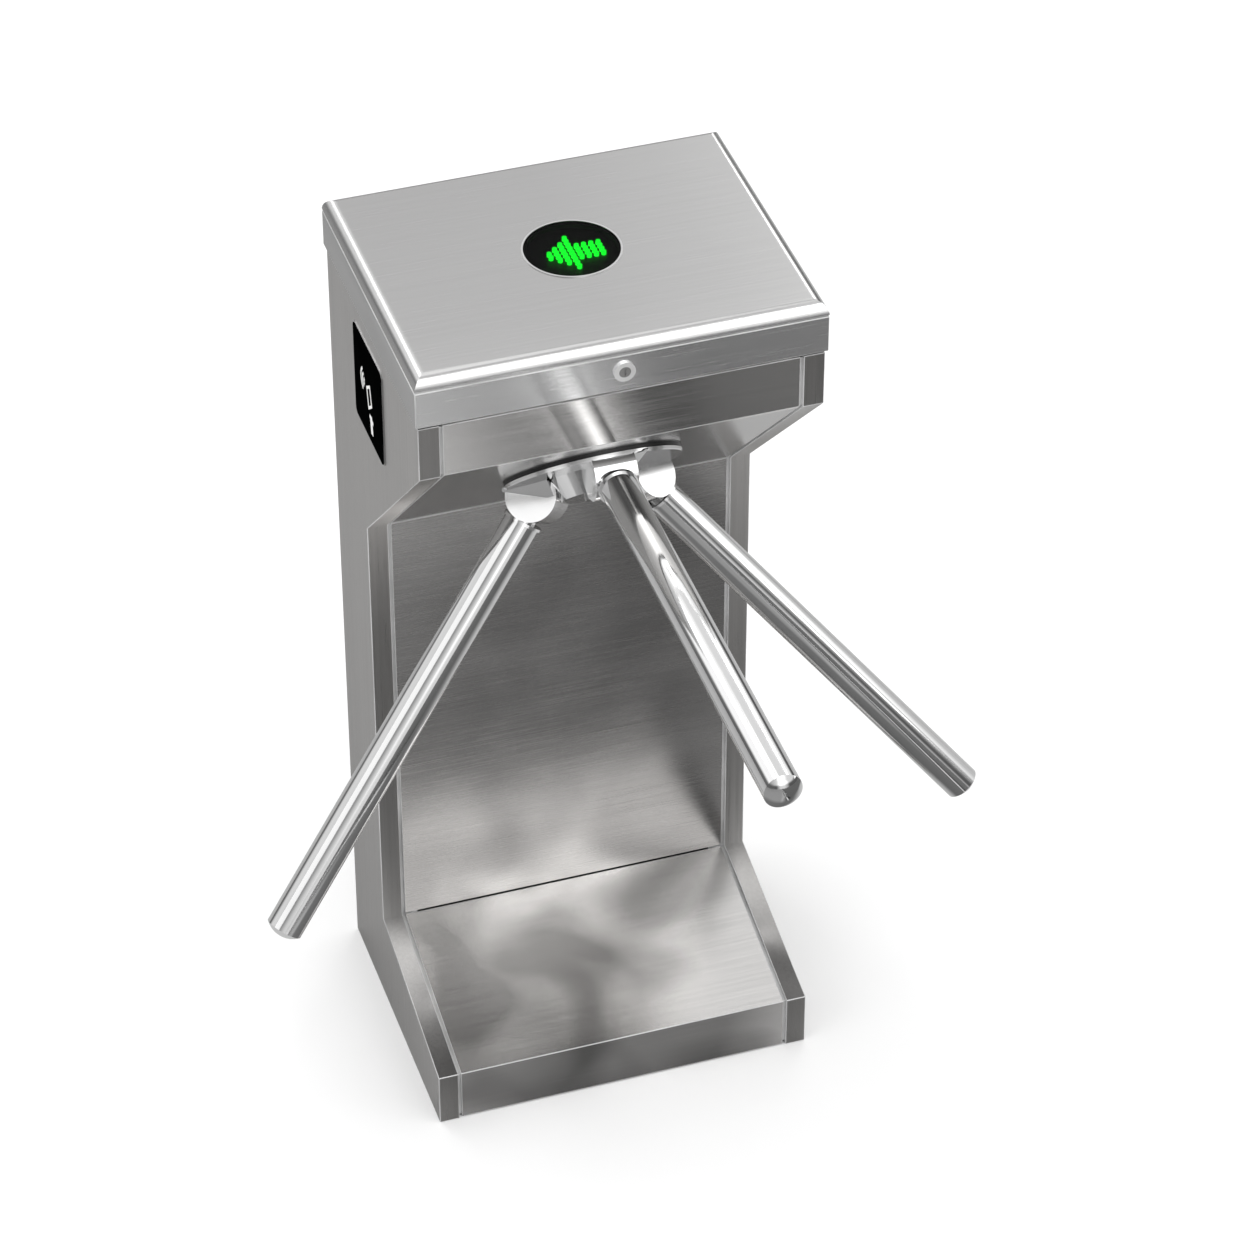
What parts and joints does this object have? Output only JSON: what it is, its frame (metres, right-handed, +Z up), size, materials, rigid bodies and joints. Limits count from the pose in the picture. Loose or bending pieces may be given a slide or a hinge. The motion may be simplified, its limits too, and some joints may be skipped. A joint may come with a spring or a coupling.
{
  "type": "tripod turnstile",
  "caption": "Stainless tripod turnstile: C-shaped cabinet with slanted nose, tripod arm hub, keyed rolled-edge lid with round arrow display and side card readers.",
  "frame": {"origin": "centre of the cabinet's footprint, on the floor", "axes": "+X along the passage, -Y towards the arms' side (front), +Y to the flat back, +Z up"},
  "size_m": [0.7698, 0.808, 0.9808],
  "materials": {
    "brushed_steel": "brushed",
    "lid_steel": "brushed",
    "polished_steel": "polished",
    "trim_steel": "polished",
    "lock_brass": "polished",
    "zinc_steel": "satin",
    "galvanised_sheet": "satin",
    "fastener_steel": "satin",
    "hardened_steel": "polished",
    "gear_steel": "satin",
    "machined_aluminium": "satin",
    "supply_case": "satin",
    "motor_black": "satin",
    "coil_case": "satin",
    "seal_rubber": "matte",
    "black_plastic": "matte",
    "smoked_glass": "polished",
    "green_light": "glossy",
    "circuit_board": "satin",
    "grey_plastic": "matte",
    "reader_glass": "polished",
    "white_print": "matte"
  },
  "bodies": {
    "cabinet": {"base_plate": "zinc_steel", "left_side_frame": "brushed_steel", "right_side_frame": "brushed_steel", "nose_panel": "brushed_steel", "column_panel": "brushed_steel", "foot_cover": "brushed_steel", "rear_panel": "brushed_steel", "panel_nuts": "fastener_steel", "top_frame": "galvanised_sheet", "lid_seal": "seal_rubber", "hinge_brackets": "zinc_steel", "lock_catch": "zinc_steel", "equipment_plate": "galvanised_sheet", "controller_board": "circuit_board", "power_supply": "supply_case", "terminal_block": "grey_plastic", "reader_windows": "reader_glass", "reader_bezels": "trim_steel", "reader_icons": "white_print", "reader_modules": "grey_plastic", "mechanism_rails": "zinc_steel", "mechanism_plate": "machined_aluminium", "mechanism_bolts": "fastener_steel", "hub_collar": "black_plastic", "bearing_housing": "machined_aluminium", "bearing_outer_rings": "hardened_steel", "deck_standoffs": "fastener_steel", "deck_plate": "machined_aluminium", "drive_motor": "motor_black", "solenoid": "coil_case", "pawl_posts": "fastener_steel", "sensor_bracket": "zinc_steel", "position_sensor": "circuit_board", "pawl_spring": "hardened_steel"},
    "lid": {"lid_shell": "lid_steel", "hinge_arms": "zinc_steel", "hinge_pins": "fastener_steel", "display_bezel": "polished_steel", "display_lens": "smoked_glass", "display_leds": "green_light", "display_board": "circuit_board", "display_cup": "black_plastic", "lock_body": "polished_steel", "lock_nut": "fastener_steel"},
    "lock": {"lock_plug": "lock_brass", "lock_cam": "zinc_steel"},
    "rotor": {"hub_casting": "polished_steel", "hub_cap": "polished_steel", "hub_bolt": "fastener_steel", "arm_spigots": "polished_steel", "arm_screws": "fastener_steel", "arm_tubes": "polished_steel", "arm_end_caps": "polished_steel", "hub_spindle": "hardened_steel", "bearing_inner_rings": "hardened_steel", "spindle_stack": "gear_steel"},
    "ball_sets": {"bearing_balls": "hardened_steel"},
    "drive": {"motor_pinion": "gear_steel"},
    "pawl": {"lock_pawl": "hardened_steel"},
    "plunger": {"solenoid_plunger": "fastener_steel"}
  },
  "joints": [
    {"name": "rotor_spin", "type": "hinge", "parent": "cabinet", "child": "rotor", "pos_m": [0, -0.06324, 0.75824], "axis": [0, -0.7071, -0.7071], "continuous": true},
    {"name": "ball_spin", "type": "hinge", "parent": "cabinet", "child": "ball_sets", "pos_m": [0, -0.06324, 0.75824], "axis": [0, -0.7071, -0.7071], "continuous": true},
    {"name": "motor_spin", "type": "hinge", "parent": "cabinet", "child": "drive", "pos_m": [0.075, -0.06324, 0.75824], "axis": [0, -0.7071, -0.7071], "continuous": true},
    {"name": "lid_open", "type": "hinge", "parent": "cabinet", "child": "lid", "pos_m": [0, 0.138, 0.894], "axis": [-1, 0, 0], "range_deg": [0, 75]},
    {"name": "lock_turn", "type": "hinge", "parent": "lid", "child": "lock", "pos_m": [0, -0.1665, 0.9455], "axis": [0, -1, 0], "range_deg": [0, 90]},
    {"name": "pawl_swing", "type": "hinge", "parent": "cabinet", "child": "pawl", "pos_m": [-0.0855, 0.03929, 0.78299], "axis": [0, 0.7071, 0.7071], "range_deg": [0, 11], "deforming": ["pawl_spring"]},
    {"name": "plunger_pull", "type": "slide", "parent": "cabinet", "child": "plunger", "axis": [1, 0, 0], "range_m": [0, 0.0145]}
  ],
  "couplings": [
    {"joint": "ball_spin", "follows": "rotor_spin", "ratio": 0.424},
    {"joint": "motor_spin", "follows": "rotor_spin", "ratio": -4},
    {"joint": "plunger_pull", "follows": "pawl_swing", "m_per_rad": 0.075}
  ]
}
